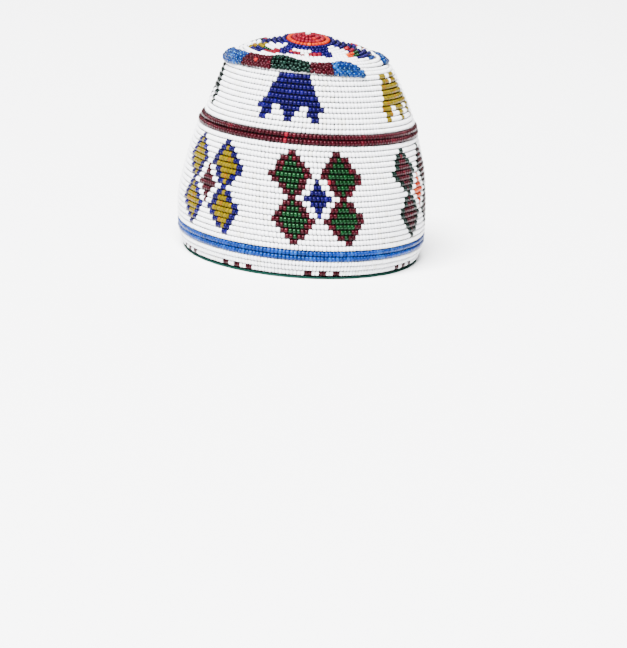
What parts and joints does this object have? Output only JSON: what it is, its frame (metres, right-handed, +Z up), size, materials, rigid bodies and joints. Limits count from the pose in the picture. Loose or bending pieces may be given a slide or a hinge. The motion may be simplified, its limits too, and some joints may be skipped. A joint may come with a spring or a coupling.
{
  "type": "beaded hat",
  "caption": "Tall oval cap of strung glass beads with stepped diamond and trapezoid motifs, a low cone crown with a rosette, and an open hollow for the head.",
  "frame": {"origin": "middle of the rim, on the surface that the hat rests on", "axes": "+Z up to the crown, -Y to the front of the hat, +X to the right as the front is looked at"},
  "size_m": [0.1639, 0.1854, 0.1446],
  "materials": {
    "white_glass": "opaque glossy glass beads",
    "blue_glass": "light blue glossy glass beads",
    "maroon_glass": "dark red glossy glass beads",
    "green_glass": "green glossy glass beads",
    "dark_green_glass": "green-black glossy glass beads",
    "indigo_glass": "indigo glossy glass beads",
    "yellow_glass": "mustard yellow glossy glass beads",
    "orange_glass": "orange glossy glass beads",
    "red_glass": "crimson glossy glass beads",
    "turquoise_glass": "turquoise glossy glass beads",
    "thread": "dark twisted thread",
    "green_cloth": "woven cotton edging"
  },
  "bodies": {
    "root": {"hem_binding": "green_cloth", "hem_band": "white_glass", "blue_band": "blue_glass", "lower_wall": "white_glass", "maroon_band": "maroon_glass", "upper_wall": "white_glass", "crown_top": "red_glass", "crown_leaf_front": "green_glass", "crown_leaf_right": "green_glass", "crown_leaf_left": "green_glass", "centre_bead": "white_glass"}
  },
  "joints": []
}
